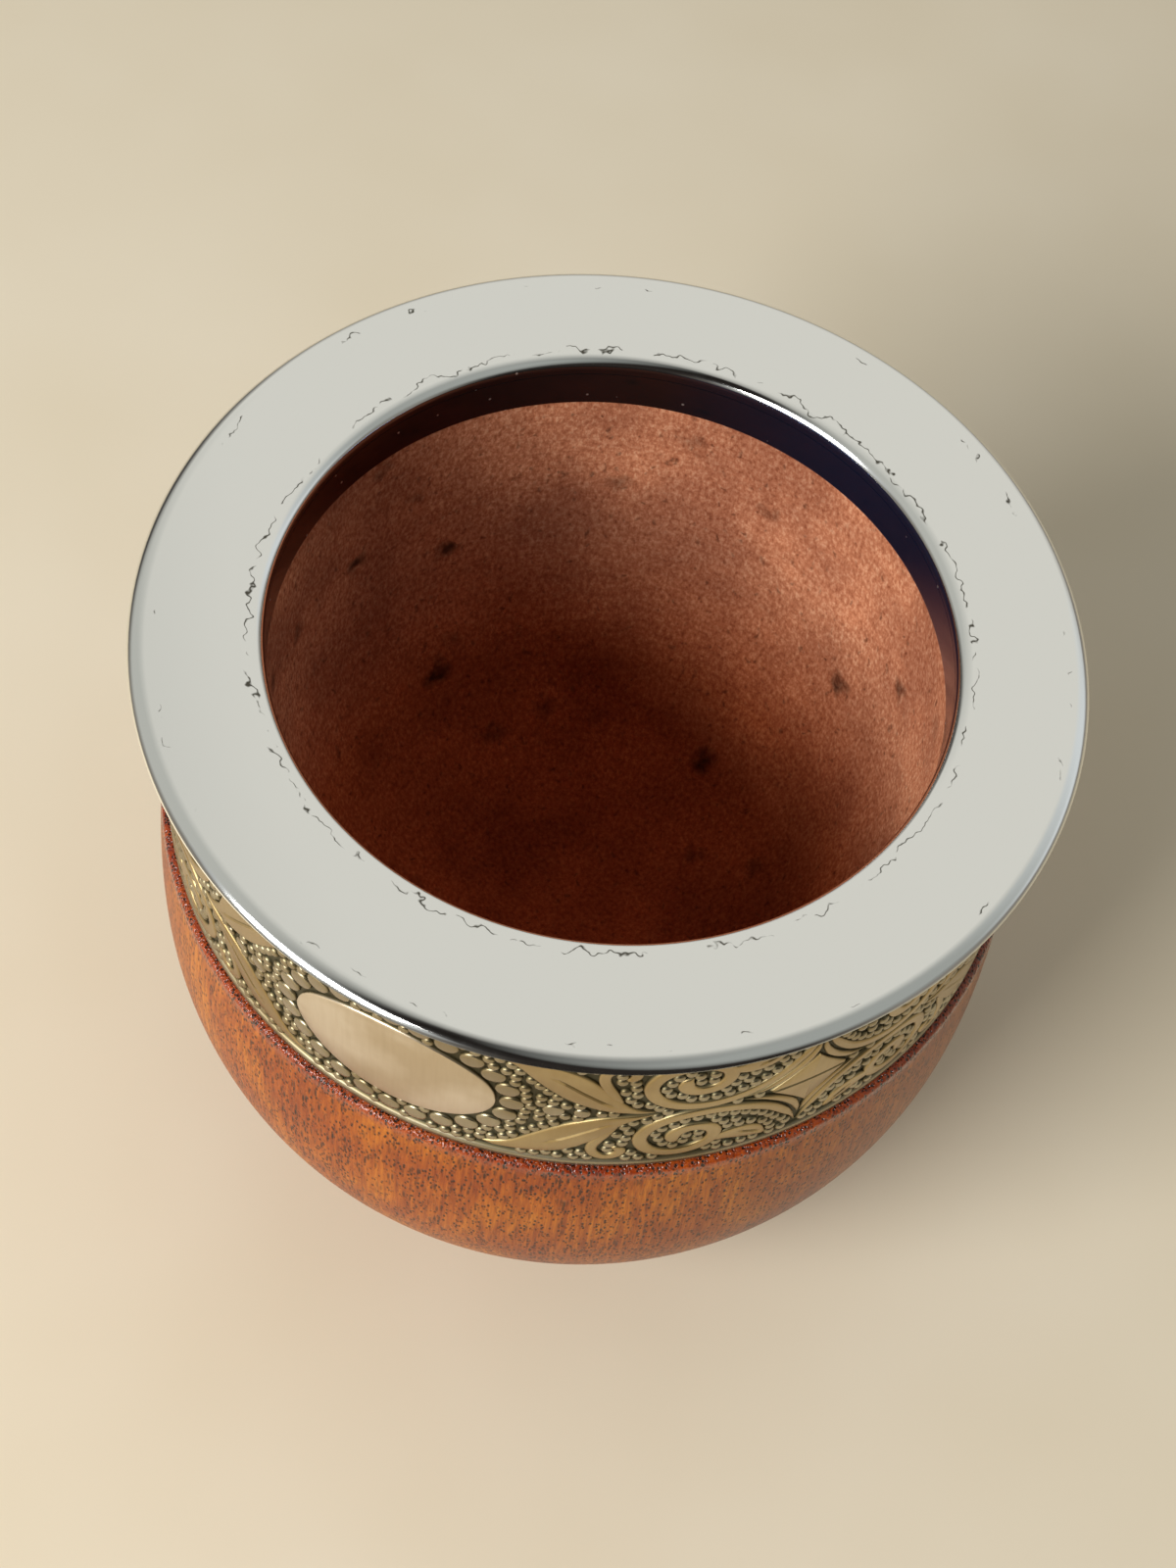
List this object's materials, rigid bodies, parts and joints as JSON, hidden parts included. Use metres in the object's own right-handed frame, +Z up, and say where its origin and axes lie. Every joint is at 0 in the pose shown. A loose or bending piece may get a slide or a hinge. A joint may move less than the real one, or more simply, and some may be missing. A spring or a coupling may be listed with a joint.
{
  "type": "imperial mate cup",
  "caption": "Round turned-wood drinking cup with a wide flat polished metal rim, a metal collar in the mouth and a chased metal band under the rim; stands on a flat base.",
  "frame": {"origin": "centre of the flat base", "axes": "+Z up along the turning axis to the mouth, -Y towards the front where the band's plain oval lies"},
  "size_m": [0.09, 0.09, 0.076],
  "materials": {
    "wood": "varnished outside, raw inside",
    "rim_metal": "mirror-polished stainless steel",
    "band_metal": "chased nickel silver with dark patina in the ground",
    "solder": "dull solder",
    "cement": "set epoxy cement"
  },
  "bodies": {
    "root": {"wood_body": "wood", "rim_ring": "rim_metal", "mouth_collar": "rim_metal", "engraved_band": "band_metal", "band_seam_solder": "solder", "collar_solder": "solder", "band_solder": "solder", "collar_cement": "cement", "band_cement": "cement", "rim_cement": "cement"}
  },
  "joints": []
}
